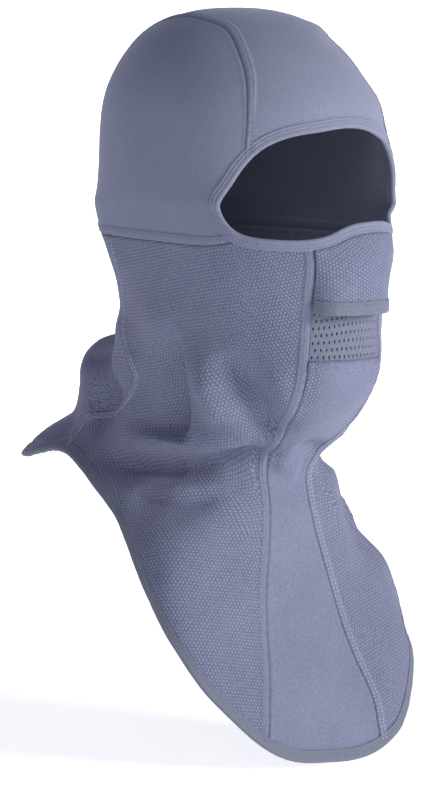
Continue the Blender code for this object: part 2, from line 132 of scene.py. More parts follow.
bodySpline = naturalSpline(*bodyRows())


# A mean, a wave and a half-length wave of the azimuth that meet the front, side and back values
def around(front, side, back, azimuth):
    wave = (front - back) / 2 * np.cos(azimuth)
    pinch = ((front + back) / 4 - side / 2) * np.cos(2 * azimuth)
    return (front + back) / 4 + side / 2 + wave + pinch


# A place is (x, y) on a flat polar map: station outwards from the crown, azimuth round from the nose
def chart(azimuth, station):
    angle = np.radians(azimuth)
    return np.stack([station * np.sin(angle), -station * np.cos(angle)], -1)


# The azimuth in radians and the station of a place: its turn from the nose, and its reach
def unchart(place):
    return np.arctan2(place[..., 0], -place[..., 1]), np.hypot(place[..., 0], place[..., 1])


# x = (half width + square) sin a + square sin 3a; y and z are waves through their front, side and back
def bodyPoint(place):
    azimuth, station = unchart(place)
    front, side, back, halfWidth, yFront, yBack, ySide, square = np.moveaxis(bodySpline(station), -1, 0)
    x = (halfWidth + square) * np.sin(azimuth) + square * np.sin(3 * azimuth)
    y = around(yFront, ySide, yBack, azimuth)
    z = head["cloth"] * mm - around(front, side, back, azimuth)
    return np.stack([x, y, z], -1)


# How the body's points move per unit of each map direction, by central differences
def bodySlopes(place, step=1e-4):
    slopes = []
    for way in ((step, 0), (0, step)):
        slopes.append((bodyPoint(place + np.array(way)) - bodyPoint(place - np.array(way))) / (2 * step))
    return slopes


# The cross product of the two slopes, at unit length
def bodyNormal(place):
    return unit(np.cross(*bodySlopes(place)))


# Folds: a run of (azimuth, station) points, the height in mm, the widths to the left and right of the
# run as seen from outside, how sharp it is, and the share of each end over which it fades
folds = (
    dict(run=((-112, 3.2), (-95, 3.13), (-81, 3.05), (-60, 2.955), (-40, 2.895), (-23, 2.87), (-5, 2.87)),
         height=-14, widths=(8, 11), power=1.6, fade=(0.2, 0.35)),
    dict(run=((-110, 3.08), (-89, 2.96), (-68, 2.85), (-48, 2.79), (-32, 2.76)), height=6, widths=(12, 6)),
    dict(run=((-100, 3.24), (-79, 3.16), (-51, 3.06), (-28, 3.01)), height=3.5, widths=(6, 7)),
    dict(run=((-88, 3.31), (-76, 3.27), (-54, 3.2), (-33, 3.15)), height=-5, widths=(6, 9), power=1.6),
    dict(run=((-85, 2.05), (-83, 2.24), (-82, 2.43), (-79, 2.63), (-72, 2.82)), height=-14, widths=(7, 24),
         fade=(0.4, 0.1)),
    dict(run=((-70, 2.1), (-67, 2.35), (-62, 2.52), (-54, 2.72)), height=10, widths=(13, 10),
         fade=(0.5, 0.3)),
    dict(run=((-60, 2.2), (-56, 2.3), (-48, 2.45), (-39, 2.61), (-27, 2.74)), height=-10, widths=(11, 8),
         power=1.6, fade=(0.4, 0.15)),
    dict(run=((-40, 2.25), (-35, 2.45), (-28, 2.6)), height=2.5, widths=(8, 8)),
    dict(run=((-14, 2.88), (-2, 2.96), (8, 3.0)), height=3, widths=(7, 6), power=2.4),
    dict(run=((-8, 2.78), (6, 2.82), (22, 2.86)), height=-3.5, widths=(7, 6)),
    dict(run=((136, 2.75), (155, 2.78), (170, 2.84), (185, 2.86), (205, 2.86), (220, 2.83), (240, 2.76)),
         height=16, widths=(14, 21), fade=(0.3, 0.2)),
    dict(run=((140, 2.47), (165, 2.5), (180, 2.52), (200, 2.5), (222, 2.47)), height=-5, widths=(9, 7)),
    dict(run=((240, 2.62), (240, 2.8), (238, 2.95), (234, 3.1)), height=-5, widths=(13, 13)),
    dict(run=((238, 2.1), (236, 2.3), (234, 2.5), (230, 2.66)), height=4, widths=(14, 14)),
    dict(run=((140, 3.3), (160, 3.26), (180, 3.24), (200, 3.26), (216, 3.28), (240, 3.3)), height=-7,
         widths=(12, 18), power=1.8, fade=(0.3, 0.15)),
    dict(run=((165, 3.6), (185, 3.66), (205, 3.66), (222, 3.56), (240, 3.48)), height=-7, widths=(34, 34),
         power=2.6, fade=(0.15, 0.4)),
    dict(run=((24, 3.36), (45, 3.38), (62, 3.42), (78, 3.5)), height=-9, widths=(20, 26), power=2.4,
         fade=(0.3, 0.2)),
    dict(run=((38, 0.4), (44, 0.6), (46, 0.85)), height=-3, widths=(34, 34), power=3),
    dict(run=((14, 4.2), (28, 4.05), (44, 3.9)), height=4, widths=(24, 24), fade=(0.2, 0.3)),
    dict(run=((252, 2.3), (248, 2.5), (246, 2.7)), height=2.5, widths=(9, 9)),
    dict(run=((22, 2.88), (40, 2.9), (62, 2.97), (84, 3.07), (104, 3.16)), height=-6, widths=(9, 11),
         power=1.8, fade=(0.3, 0.3)),
    dict(run=((34, 2.77), (52, 2.81), (72, 2.88), (92, 2.98), (108, 3.06)), height=4.5, widths=(12, 6)),
    dict(run=((30, 3.05), (55, 3.08), (80, 3.18), (98, 3.26)), height=2.5, widths=(7, 7)),
    dict(run=((60, 3.24), (76, 3.3), (92, 3.36)), height=-3, widths=(6, 9)),
    dict(run=((88, 2.1), (86, 2.32), (82, 2.5), (74, 2.72)), height=-5.5, widths=(14, 8), fade=(0.4, 0.1)),
    dict(run=((72, 2.15), (68, 2.4), (60, 2.62)), height=5, widths=(11, 12), fade=(0.5, 0.3)),
    dict(run=((56, 2.3), (48, 2.48), (36, 2.66)), height=-4, widths=(8, 9), fade=(0.4, 0.2)),
    dict(run=((124, 2.68), (126, 2.84), (131, 3.0)), height=-5, widths=(9, 9)),
    dict(run=((37, 3.25), (40, 3.5), (41, 3.85)), height=1.4, widths=(3.5, 5), fade=(0.3, 0.5)),
    dict(run=((47, 3.3), (49, 3.55), (50, 3.8)), height=1.0, widths=(4, 4), fade=(0.3, 0.5)),
    dict(run=((-62, 3.35), (-58, 3.55), (-55, 3.8)), height=1.6, widths=(14, 14)),
    dict(run=((-52, 1.02), (-56, 1.15), (-57, 1.3)), height=1.0, widths=(6, 9)),
    dict(run=((44, 0.87), (49, 0.97), (53, 1.1), (54.5, 1.25), (53, 1.4)), height=5, widths=(9, 12),
         fade=(0.35, 0.25)),
    dict(run=((26, 1.62), (33, 1.55), (40, 1.53), (50, 1.52)), height=-4, widths=(10, 10), power=2.4),
)
clothMap = dict(stationStep=0.01, lastStation=4.6, runPoints=48, reach=3, seed=7, swellsFrom=(0.9, 2.2))
swellWaves = ((0.062, 0.45), (0.045, 0.35), (0.031, 0.25), (0.022, 0.16), (0.014, 0.07))


# A ridge or valley across a run: height x exp(-|distance / width|^power), faded towards the run's ends
def foldHeight(points):
    flat = points.reshape(-1, 3)
    total = np.zeros(len(flat))
    for fold in folds:
        knots = np.array(fold["run"], float)
        share = np.linspace(0, 1, clothMap["runPoints"])
        run = naturalSpline(np.linspace(0, 1, len(knots)), knots)(share)
        places = chart(run[:, 0], run[:, 1])
        line = bodyPoint(places)
        left = unit(np.cross(bodyNormal(places), unit(np.gradient(line, axis=0))))
        reach = clothMap["reach"] * max(fold["widths"]) * mm
        near = np.all((flat > line.min(0) - reach) & (flat < line.max(0) + reach), axis=1)
        apart = flat[near][:, None] - line[None]
        gaps = np.linalg.norm(apart, axis=-1)
        closest = gaps.argmin(1)
        rows = np.arange(len(closest))
        gap = gaps[rows, closest]
        onLeft = np.sign((apart[rows, closest] * left[closest]).sum(-1))
        width = np.where(onLeft > 0, *fold["widths"]) * mm
        start, end = fold.get("fade", (0.3, 0.3))
        along = share[closest]
        strength = smoothStep(-0.02, start, along) * smoothStep(-0.02, end, 1 - along)
        total[near] += fold["height"] * mm * strength * np.exp(-(gap / width) ** fold.get("power", 2.0))
    return total.reshape(points.shape[:-1])


# Slow swells that no cloth is without: sine waves in space, each with its length in m and height in mm
def swells(points):
    random = np.random.default_rng(clothMap["seed"])
    total = 0
    for length, height in swellWaves:
        way = unit(random.normal(size=3))
        total = total + height * mm * np.sin(points @ way * 2 * np.pi / length + random.uniform(0, 6.3))
    return total


# The cloth with its folds, tabled over (station, azimuth): places pushed out along the body's normal
def makeClothMap():
    stations = np.arange(0, clothMap["lastStation"], clothMap["stationStep"])
    places = chart(np.arange(360)[None], stations[:, None])
    points, normals = bodyPoint(places), bodyNormal(places)
    height = foldHeight(points) + swells(points) * smoothStep(*clothMap["swellsFrom"], stations)[:, None]
    points = points + height[..., None] * normals
    down = np.gradient(points, axis=0)
    across = np.roll(points, -1, axis=1) - np.roll(points, 1, axis=1)
    turned = np.cross(down, across)
    turned[0] = (0, 0, 1)
    turned = unit(turned)
    turned *= np.sign((turned * normals).sum(-1, keepdims=True))
    return points, turned


clothPoints, clothNormals = makeClothMap()
print("folds laid")


# A table read between its rows and columns: the four nearest entries, each by how near it is
def between(table, row, column, wraps=False):
    i = np.clip(row.astype(int), 0, len(table) - 2)
    j = column.astype(int) if wraps else np.clip(column.astype(int), 0, table.shape[1] - 2)
    down, across = (row - i)[..., None], (column - j)[..., None]
    here, following = j % table.shape[1], (j + 1) % table.shape[1]
    upper = table[i, here] * (1 - across) + table[i, following] * across
    lower = table[i + 1, here] * (1 - across) + table[i + 1, following] * across
    return upper * (1 - down) + lower * down


# A point of the table plus a level times its normal: level 0 is the cloth's outer face
def cloth(places, level=0.0):
    azimuth, station = unchart(places)
    column, row = np.degrees(azimuth) % 360, station / clothMap["stationStep"]
    point, normal = (between(table, row, column, True) for table in (clothPoints, clothNormals))
    return point + np.asarray(level)[..., None] * unit(normal)


# Routes on the cloth
routeCount = 600
eyeOutline = dict(
    right=((0, 1.382), (7, 1.41), (13, 1.45), (20, 1.479), (30, 1.492), (38, 1.489), (44.5, 1.478),
           (49, 1.452), (52, 1.4), (53.8, 1.32), (54.2, 1.22), (53.4, 1.15), (51.2, 1.08), (47.3, 1.01),
           (42.7, 0.967),
           (38, 0.941), (32, 0.922), (25, 0.909), (15.5, 0.9), (0, 0.891)),
    left=((0, 1.38), (8, 1.37), (17, 1.376), (25, 1.42), (32, 1.492), (42, 1.497), (50, 1.44), (53.4, 1.33),
          (54, 1.2), (51, 1.07), (44.5, 0.968), (29, 0.917), (15, 0.897), (0, 0.889)),
)
hemOutline = dict(
    right=((0, 4.31), (11, 4.287), (20, 4.226), (29, 4.138), (41, 4.046), (50, 3.975), (58, 3.927),
           (69.5, 3.83), (79, 3.705), (89, 3.562), (101, 3.482), (113, 3.422), (125, 3.43), (133, 3.52),
           (143, 3.75), (160, 3.94), (180, 3.97)),
    left=((0, 4.31), (7, 4.322), (18, 4.315), (27, 4.268), (35, 4.19), (46, 4.07), (60, 3.93), (75, 3.78),
          (90, 3.55), (105, 3.42), (118, 3.37), (130, 3.46), (142, 3.75), (160, 3.94), (180, 3.97)),
)
seamRuns = dict(
    crown=((45, 1.10), (45.2, 0.97), (43.8, 0.88), (43, 0.8), (43, 0.7), (45, 0.6), (50, 0.47), (62, 0.385),
           (88, 0.315), (116, 0.33), (136, 0.45), (146, 0.70), (150, 1.0), (151, 1.3), (151, 1.543)),
    ear=((40, 1.40), (50, 1.50), (60, 1.54), (75, 1.543), (115, 1.543), (151, 1.543), (180, 1.543)),
    front=((22, 1.35), (21.7, 1.53), (22, 1.75), (22, 2.0), (24, 2.23), (25.5, 2.46), (24.5, 2.62),
           (21, 2.74), (16.5, 2.88), (13, 3.03), (10.5, 3.2), (10, 3.4), (11.2, 3.65), (13, 3.9),
           (16.5, 4.17), (19, 4.5)),
    back=((115, 1.543), (114.5, 1.75), (118, 2.0), (118.5, 2.2), (112.5, 2.38), (108, 2.51),
          (109, 2.65), (113, 2.8), (122, 2.95), (127.5, 3.09), (128.5, 3.2), (127, 3.32), (123, 3.48),
          (120, 3.62)),
)
sides = dict(right=-1, left=1)
seamMarks = dict(crownBend=0.55, chin=2.235)  # a share of the crown seam, and the chin line's station
clothEdge = 1.7 * mm
mapScale = (0.0015, 0.085)  # metres in one degree and in one station, for spacing an outline's knots


# Running sums of the steps between neighbours along one axis, from zero
def lengthsAlong(points, axis=0):
    steps = np.linalg.norm(np.diff(points, axis=axis), axis=-1)
    return np.insert(np.cumsum(steps, axis=axis), 0, 0, axis=axis)


# Shares from 0 to 1 that crowd towards both ends: t - crowd sin(2 pi t) / 2 pi
def spots(count, crowd=0.0):
    share = np.linspace(0, 1, count)
    return share - crowd * np.sin(2 * np.pi * share) / (2 * np.pi)


# Places at shares of a route's own length on the body
def evenly(places, shares):
    run = lengthsAlong(bodyPoint(places))
    return np.stack([np.interp(shares * run[-1], run, places[:, i]) for i in (0, 1)], -1)


# A spline through an outline's knots, between two of them
def smoothed(points, first, last):
    run = lengthsAlong(points * mapScale)
    return naturalSpline(run, points)(np.linspace(run[first], run[last], routeCount))


# A seam's spline on one side, at even steps along the body
def seamRoute(name, side):
    points = smoothed(np.array(seamRuns[name], float), 0, -1)
    return evenly(chart(side * points[:, 0], points[:, 1]), spots(routeCount))


# A closed outline from its two halves: first the left, then the right backwards
def closedOutline(halves):
    left, right = (np.array(halves[name], float) for name in ("left", "right"))
    turn = np.array([360.0 if left[-1, 0] == 180 else 0, 0])
    whole = np.concatenate([left, right[-2:0:-1] * (-1, 1) + turn])
    overlap = 4
    padded = np.concatenate([whole[-overlap:] - turn, whole, whole[:overlap] + turn])
    marks = overlap, overlap + len(left) - 1, overlap + len(whole)
    parts = [smoothed(padded, *marks[i:i + 2]) for i in (0, 1)]
    parts = [evenly(chart(part[:, 0], part[:, 1]), spots(routeCount)) for part in parts]
    return np.concatenate([parts[0], parts[1][1:]])


# Unit vectors in the cloth to the left of a route, as seen from outside
def sideways(places, closed=False):
    points = bodyPoint(places)
    ahead = np.gradient(points, axis=0)
    if closed:
        ahead[0] = ahead[-1] = points[1] - points[-2]
    return unit(np.cross(bodyNormal(places), unit(ahead)))


# Places moved sideways: the least-squares map step for a step of that length along the body
def offset(places, distance, closed=False):
    slopes = np.stack(bodySlopes(places), -1)
    turned = np.swapaxes(slopes, -1, -2)
    step = distance * sideways(places, closed)
    return places + np.linalg.solve(turned @ slopes, turned @ step[..., None])[..., 0]


# Where two routes come nearest each other, as an index into each
def crossing(first, second):
    gap = np.linalg.norm(bodyPoint(first)[:, None] - bodyPoint(second)[None], axis=-1)
    return np.unravel_index(gap.argmin(), gap.shape)


def joined(first, second):
    return np.concatenate([first, second[1:]])


eyeLoop, hemLoop = (
    closedOutline(dict(left=halves["left"][::step], right=halves["right"][::step]))
    for halves, step in ((eyeOutline, -1), (hemOutline, 1))
)
eyeEdge, hemEdge = (offset(loop, clothEdge, closed=True) for loop in (eyeLoop, hemLoop))


# One side's half of a closed loop, starting where the left half starts
def halfOf(loop, side):
    return loop[:routeCount] if side == sides["left"] else loop[routeCount - 1:][::-1]


# One side's seams, each cut off where it meets the rim, the hem or the ear seam
def sideRoutes(side):
    found = {name: seamRoute(name, side) for name in seamRuns}
    found.update(eye=halfOf(eyeEdge, side), hem=halfOf(hemEdge, side))
    meets = {}
    for name in ("crown", "ear", "front"):
        start, meets[name] = crossing(found[name], found["eye"])
        found[name] = np.concatenate([found["eye"][meets[name]][None], found[name][start + 1:]])
    for name in ("front", "back"):
        end, meets[name + "Hem"] = crossing(found[name], found["hem"])
        found[name] = np.concatenate([found[name][:end], found["hem"][meets[name + "Hem"]][None]])
    for name, end in (("crown", -1), ("back", 0)):
        meets[name + "Ear"] = crossing(found[name][end][None], found["ear"])[1]
        found[name][end] = found["ear"][meets[name + "Ear"]]
    found["meets"] = meets
    found["bend"] = int(len(found["crown"]) * seamMarks["crownBend"])
    found["chin"] = int(np.abs(unchart(found["front"])[1] - seamMarks["chin"]).argmin())
    return found


routes = {name: sideRoutes(side) for name, side in sides.items()}


# The run of a line across the middle, from where a seam meets it on the right to the same on the left
def acrossMiddle(line, meet, shares, fromStart):
    parts = []
    for name in ("right", "left"):
        whole, place = routes[name][line], routes[name]["meets"][meet]
        parts.append(whole[:place + 1][::-1] if fromStart else whole[place:])
    return evenly(joined(parts[0], parts[1][::-1]), shares)


# Places at shares of the way from one to another, in azimuth and station alike
def levelRoute(start, end, shares):
    first, last = (np.array(unchart(each)) for each in (start, end))
    both = first + shares[:, None] * (last - first)
    return chart(np.degrees(both[:, 0]), both[:, 1])


# Four edges blended inwards: rows between top and bottom, plus columns between first and last, less
# the blend of the four corners
def patch(top, bottom, first, last, down, across, polar=True):
    edges = [np.asarray(each) for each in (top, bottom, first, last)]
    if polar:
        edges = [np.stack(unchart(each), -1) for each in edges]
        for each in edges:
            each[:, 0] = np.unwrap(each[:, 0])
        for late, early in ((3, 0), (1, 2)):
            turns = np.round((edges[early][-1, 0] - edges[late][0, 0]) / (2 * np.pi))
            edges[late][:, 0] += 2 * np.pi * turns
    top, bottom, first, last = edges
    u, v = across[None, :, None], down[:, None, None]
    lines = (1 - v) * top[None] + v * bottom[None] + (1 - u) * first[:, None] + u * last[:, None]
    corners = (1 - v) * ((1 - u) * top[0] + u * top[-1]) + v * ((1 - u) * bottom[0] + u * bottom[-1])
    places = lines - corners
    return chart(np.degrees(places[..., 0]), places[..., 1]) if polar else places


print("routes drawn")


# The four corners of every cell of a grid whose points are numbered row by row
def gridQuads(rowCount, columnCount):
    here = (np.arange(rowCount - 1)[:, None] * columnCount + np.arange(columnCount - 1)[None]).ravel()
    return np.stack([here, here + columnCount, here + columnCount + 1, here + 1], 1)


# A mesh of four-sided faces, with its cut laid out as a UV map and its smooth parts as an attribute
def addPiece(name, points, quads, materials, faceMaterials=None, uv=None, plain=None):
    mesh = bpy.data.meshes.new(name)
    mesh.vertices.add(len(points))
    mesh.vertices.foreach_set("co", np.asarray(points, np.float32).ravel())
    mesh.loops.add(quads.size)
    mesh.loops.foreach_set("vertex_index", quads.astype(np.int32).ravel())
    mesh.polygons.add(len(quads))
    mesh.polygons.foreach_set("loop_start", np.arange(0, quads.size, 4, dtype=np.int32))
    mesh.update(calc_edges=True)
    for material in materials:
        mesh.materials.append(material)
    if faceMaterials is not None:
        mesh.polygons.foreach_set("material_index", faceMaterials.astype(np.int32))
    if uv is not None:
        layer = mesh.uv_layers.new(name="cloth")
        layer.data.foreach_set("uv", uv[quads.ravel()].astype(np.float32).ravel())
    if plain is not None:
        values = mesh.attributes.new("plain", "FLOAT", "POINT").data
        values.foreach_set("value", plain.astype(np.float32))
    mesh.shade_smooth()
    mesh.validate()
    made = bpy.data.objects.new(name, mesh)
    scene.collection.objects.link(made)
    return made


# The edge of a grid as one closed ring of indices
def ringOf(rowCount, columnCount):
    index = np.arange(rowCount * columnCount).reshape(rowCount, columnCount)
    return np.concatenate([index[0, :-1], index[:-1, -1], index[-1, :0:-1], index[:0:-1, 0]])


# Two grids joined into a closed shell, the first one outside
def addShell(name, outer, inner, materials, uv, plain=None):
    rowCount, columnCount = outer.shape[:2]
    count = rowCount * columnCount
    face = gridQuads(rowCount, columnCount)
    back = face[:, ::-1] + count
    ring = ringOf(rowCount, columnCount)
    following = np.roll(ring, -1)
    wall = np.stack([ring, following, following + count, ring + count], 1)
    middle = rowCount // 2, columnCount // 2
    down = outer[middle[0] + 1, middle[1]] - outer[middle]
    across = outer[middle[0], middle[1] + 1] - outer[middle]
    quads = np.concatenate([face, back, wall])
    if np.cross(down, across) @ (outer[middle] - inner[middle]) < 0:
        quads = quads[:, ::-1]
    kinds = np.repeat([0, 1, 0], [len(face), len(back), len(wall)])
    points = np.concatenate([outer.reshape(-1, 3), inner.reshape(-1, 3)])
    plain = np.zeros(count) if plain is None else plain.ravel()
    return addPiece(name, points, quads, materials, kinds, np.tile(uv, (2, 1)), np.tile(plain, 2))


# A strip carried round or along a route: profiles is (steps, corners, 3)
def addSwept(name, profiles, materials, closed, uv=None):
    steps, corners = profiles.shape[:2]
    at = np.arange(steps if closed else steps - 1)[:, None]
    near = np.arange(corners)[None]
    far, ahead = (near + 1) % corners, (at + 1) % steps * corners
    at = at * corners
    quads = np.stack([at + near, at + far, ahead + far, ahead + near], -1).reshape(-1, 4)
    if not closed:
        half = np.arange(corners // 2 - 1)
        cap = np.stack([half, half + 1, corners - 2 - half, corners - 1 - half], 1)
        quads = np.concatenate([quads, cap[:, ::-1], cap + (steps - 1) * corners])
    points = profiles.reshape(-1, 3)
    a, b, c, d = (points[quads[:, i]] for i in range(4))
    volume = (a * np.cross(b, c)).sum() + (a * np.cross(c, d)).sum()
    return addPiece(name, points, quads if volume > 0 else quads[:, ::-1], materials, uv=uv)


flatCut = dict(mostKnots=18, rounds=150, nudge=1e-12)


# Lays a curved grid flat: springs along, across and over the cells keep their lengths as the points are
# solved for again and again from the springs' last directions
def flattened(points):
    most = flatCut["mostKnots"]
    picked = [np.unique(np.linspace(0, n - 1, min(n, most)).astype(int)) for n in points.shape[:2]]
    coarse = points[np.ix_(*picked)]
    rowCount, columnCount = coarse.shape[:2]
    index = np.arange(rowCount * columnCount).reshape(rowCount, columnCount)
    pairs = [(index[:-1], index[1:]), (index[:, :-1], index[:, 1:]), (index[:-1, :-1], index[1:, 1:]),
             (index[1:, :-1], index[:-1, 1:]), (index[:-2], index[2:]), (index[:, :-2], index[:, 2:])]
    a, b = (np.concatenate([pair[i].ravel() for pair in pairs]) for i in (0, 1))
    solid = coarse.reshape(-1, 3)
    wanted = np.linalg.norm(solid[a] - solid[b], axis=1)
    system = np.zeros((len(solid),) * 2)
    for i, j, value in ((a, a, 1), (b, b, 1), (a, b, -1), (b, a, -1)):
        np.add.at(system, (i, j), value)
    inverse = np.linalg.pinv(system)
    middle = columnCount // 2
    x = lengthsAlong(coarse, axis=1)
    x -= x[:, middle:middle + 1]
    y = np.repeat(-lengthsAlong(coarse[:, middle])[:, None], columnCount, 1)
    flat = np.stack([x, y], -1).reshape(-1, 2)
    for _ in range(flatCut["rounds"]):
        pull = unit(flat[a] - flat[b] + flatCut["nudge"]) * wanted[:, None]
        load = np.zeros_like(flat)
        np.add.at(load, a, pull)
        np.add.at(load, b, -pull)
        flat = inverse @ load
    flat = flat.reshape(rowCount, columnCount, 2)
    for axis in (0, 1):
        flat = np.moveaxis(flat, axis, 0)
        rest = flat.shape[1:]
        spline = naturalSpline(picked[axis].astype(float), flat.reshape(len(flat), -1))
        flat = spline(np.arange(points.shape[axis], dtype=float)).reshape(points.shape[axis], *rest)
        flat = np.moveaxis(flat, 0, axis)
    return flat


# Notes a cloth piece with its flat cut: the sizes of the box round its edge, and the area inside it
def noteCut(name, flat):
    ring = flat.reshape(-1, 2)[ringOf(*flat.shape[:2])]
    x, y = ring.T
    area = abs((x * np.roll(y, -1) - y * np.roll(x, -1)).sum()) / 2
    size = np.ptp(ring, axis=0)
    print(name, "flat", np.round(size / mm, 1), "area share", round(area / size.prod(), 2))


# What a piece that keeps its shape says: its body and the node it stands for
def settle(piece, body, node):
    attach(piece, body)
    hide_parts(node)


# A node's output that can be added, scaled and so on: each operator adds one Math node
class Signal:
    def __init__(self, tree, socket):
        self.tree, self.socket = tree, socket

    def math(self, operation, *others, swapped=False):
        values = [self, *others]
        if swapped:
            values = values[::-1]
        return addNode(self.tree, "Math", dict(operation=operation), dict(enumerate(values)))

    def __add__(self, other):
        return self.math("ADD", other)

    __radd__ = __add__

    def __sub__(self, other):
        return self.math("SUBTRACT", other)

    def __rsub__(self, other):
        return self.math("SUBTRACT", other, swapped=True)

    def __mul__(self, other):
        return self.math("MULTIPLY", other)

    def __truediv__(self, other):
        return self.math("DIVIDE", other)

    def __pow__(self, other):
        return self.math("POWER", other)


# One node of a kind, its settings first, then its sockets' values or links
def addNode(tree, kind, settings=None, inputs=None, out=0):
    node = tree.nodes.new("ShaderNode" + kind)
    for name, value in (settings or {}).items():
        setattr(node, name, value)
    for name, value in (inputs or {}).items():
        if isinstance(value, Signal):
            tree.links.new(value.socket, node.inputs[name])
        else:
            node.inputs[name].default_value = value
    return Signal(tree, node.outputs[out])


# first + share x (second - first), of colours
def blendColours(tree, share, first, second):
    first, second = (c if isinstance(c, Signal) else (*c, 1) for c in (first, second))
    return addNode(tree, "Mix", dict(data_type="RGBA"), {0: share, 6: first, 7: second}, out=2)


# smoothStep as a node
def smoothRange(tree, value, low, high):
    settings = dict(interpolation_type="SMOOTHSTEP")
    return addNode(tree, "MapRange", settings, {"Value": value, "From Min": low, "From Max": high})


# The gap from a point to the nearest of a staggered lattice's points, in mm
def latticeGap(x, y, across, down):
    gaps = []
    for shift in (0.0, 0.5):
        dx = ((x / (2 * across) + shift).math("FRACT") - 0.5) * (2 * across)
        dy = ((y / down + shift).math("FRACT") - 0.5) * down
        gaps.append((dx * dx + dy * dy) ** 0.5)
    return gaps[0].math("MINIMUM", gaps[1])


finishes = dict(
    knit=dict(light=(0.262, 0.280, 0.372), dark=(0.140, 0.150, 0.232), roughness=0.86, sheen=0.25),
    honeycomb=dict(light=(0.262, 0.280, 0.382), dark=(0.092, 0.100, 0.175), roughness=0.84, sheen=0.2),
    lining=dict(light=(0.200, 0.212, 0.285), dark=(0.120, 0.128, 0.185), roughness=0.95, sheen=0.5),
    facing=dict(light=(0.180, 0.197, 0.252), dark=(0.122, 0.135, 0.182), roughness=0.78, sheen=0.2),
    thread=dict(light=(0.23, 0.25, 0.33), dark=(0.15, 0.16, 0.23), roughness=0.6, sheen=0.1),
    brightThread=dict(light=(0.52, 0.54, 0.64), dark=(0.32, 0.34, 0.43), roughness=0.6, sheen=0.1),
    spacer=dict(light=(0.200, 0.216, 0.285), dark=(0.112, 0.122, 0.182), roughness=0.85, sheen=0.2),
)


# A principled shader with the sheen of yarn, and nothing joined to it yet
def startMaterial(name, finish):
    made = bpy.data.materials.new(name)
    made.use_nodes = True
    tree = made.node_tree
    tree.nodes.clear()
    output = tree.nodes.new("ShaderNodeOutputMaterial")
    shader = tree.nodes.new("ShaderNodeBsdfPrincipled")
    tree.links.new(shader.outputs[0], output.inputs[0])
    shader.inputs["Sheen Weight"].default_value = finish["sheen"]
    shader.inputs["Sheen Roughness"].default_value = 0.5
    shader.inputs["Sheen Tint"].default_value = (0.75, 0.78, 1, 1)
    shader.inputs["Specular IOR Level"].default_value = 0.25
    return made, tree, shader


def link(tree, signal, shader, name):
    tree.links.new(signal.socket, shader.inputs[name])


# Cloth that follows its own cut: pattern is a function of the tree and the place in mm, which gives the
# share of the light colour and the height in mm; where the share follows the height it is painted shade
def clothMaterial(name, finish, pattern):
    made, tree, shader = startMaterial(name, finish)
    place = addNode(tree, "UVMap", dict(uv_map="cloth"))
    x, y = (addNode(tree, "SeparateXYZ", None, {0: place}, out=i) for i in (0, 1))
    space = addNode(tree, "TexCoord", out=3)
    heather = addNode(tree, "TexNoise", None, {"Vector": space, "Scale": 900.0, "Detail": 3.0})
    cloudy = addNode(tree, "TexNoise", None, {"Vector": space, "Scale": 28.0, "Detail": 2.0})
    share, height = pattern(tree, x, y)
    share = share + (heather - 0.5) * 0.9 + (cloudy - 0.5) * 0.25
    share = share.math("MAXIMUM", 0.0).math("MINIMUM", 1.0)
    # The share mixes the yarn's random tone with the pattern's painted shade in its hollows
    link(tree, blendColours(tree, share, finish["dark"], finish["light"]), shader, "Base Color")
    link(tree, finish["roughness"] + (heather - 0.5) * 0.15, shader, "Roughness")
    relief = height + (heather - 0.5) * 0.12
    bump = addNode(tree, "Bump", None, {"Height": relief, "Strength": 0.8, "Distance": mm})
    link(tree, bump, shader, "Normal")
    return made


# Raised hexagonal cells drawn lighter, with painted shade on the sunken ground between them
def honeycombPattern(tree, x, y):
    gap = latticeGap(x, y, 1.95, 2.25)
    plain = addNode(tree, "Attribute", dict(attribute_name="plain"), out=2)
    cell = (1 - smoothRange(tree, gap, 0.2, 1.05)) * (1 - plain)
    # The raised mask also sets the colour: painted shade on the ground between the cells
    return 0.2 + plain * 0.26 + cell * 0.56, cell * 0.28


# Fine ribs of a smooth knit, broken up along their length, with painted shade in the grooves between them
def knitPattern(tree, x, y):
    rib = (x * (2 * np.pi / 0.8)).math("SINE")
    row = (y * (2 * np.pi / 0.62)).math("SINE")
    # The ribs' own waves set the colour too: painted shade in the grooves, painted light on the tops
    return 0.5 + rib * 0.10 + row * 0.06, rib * 0.03 + row * 0.02


# Tufts of a brushed back, with painted shade between them
def fleecePattern(tree, x, y):
    tufts = latticeGap(x, y, 1.1, 1.3)
    # Colour and height both fall away from the tufts: painted shade in the hollows between them
    return 0.62 - tufts * 0.3, 0.15 - tufts * 0.12


# Ribs across a woven tape, with painted shade between them
def tapePattern(tree, x, y):
    rib = (y * (2 * np.pi / 0.9)).math("SINE")
    # The rib wave sets the colour too: painted shade between the ribs, painted light on them
    return 0.5 + rib * 0.12, rib * 0.03


# Thread: two plies laid round each other
def threadMaterial(name, finish):
    made, tree, shader = startMaterial(name, finish)
    space = addNode(tree, "TexCoord", out=3)
    ply = addNode(tree, "TexNoise", None, {"Vector": space, "Scale": 2600.0, "Detail": 1.0})
    link(tree, blendColours(tree, ply, finish["dark"], finish["light"]), shader, "Base Color")
    link(tree, finish["roughness"] + (ply - 0.5) * 0.2, shader, "Roughness")
    bump = addNode(tree, "Bump", None, {"Height": ply, "Strength": 0.4, "Distance": 0.2 * mm})
    link(tree, bump, shader, "Normal")
    return made


patterns = dict(knit=knitPattern, honeycomb=honeycombPattern, lining=fleecePattern, facing=tapePattern,
                spacer=knitPattern)
materials = {name: clothMaterial(name + "Cloth", finishes[name], made) for name, made in patterns.items()}
for name in ("thread", "brightThread"):
    materials[name] = threadMaterial(name + "Yarn", finishes[name])
for name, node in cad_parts.items():
    isThread = "band" in name or "topstitch" in name
    for place in range(len(node.data.materials)):
        node.data.materials[place] = materials["thread" if isThread else "knit"]
print("materials mixed")


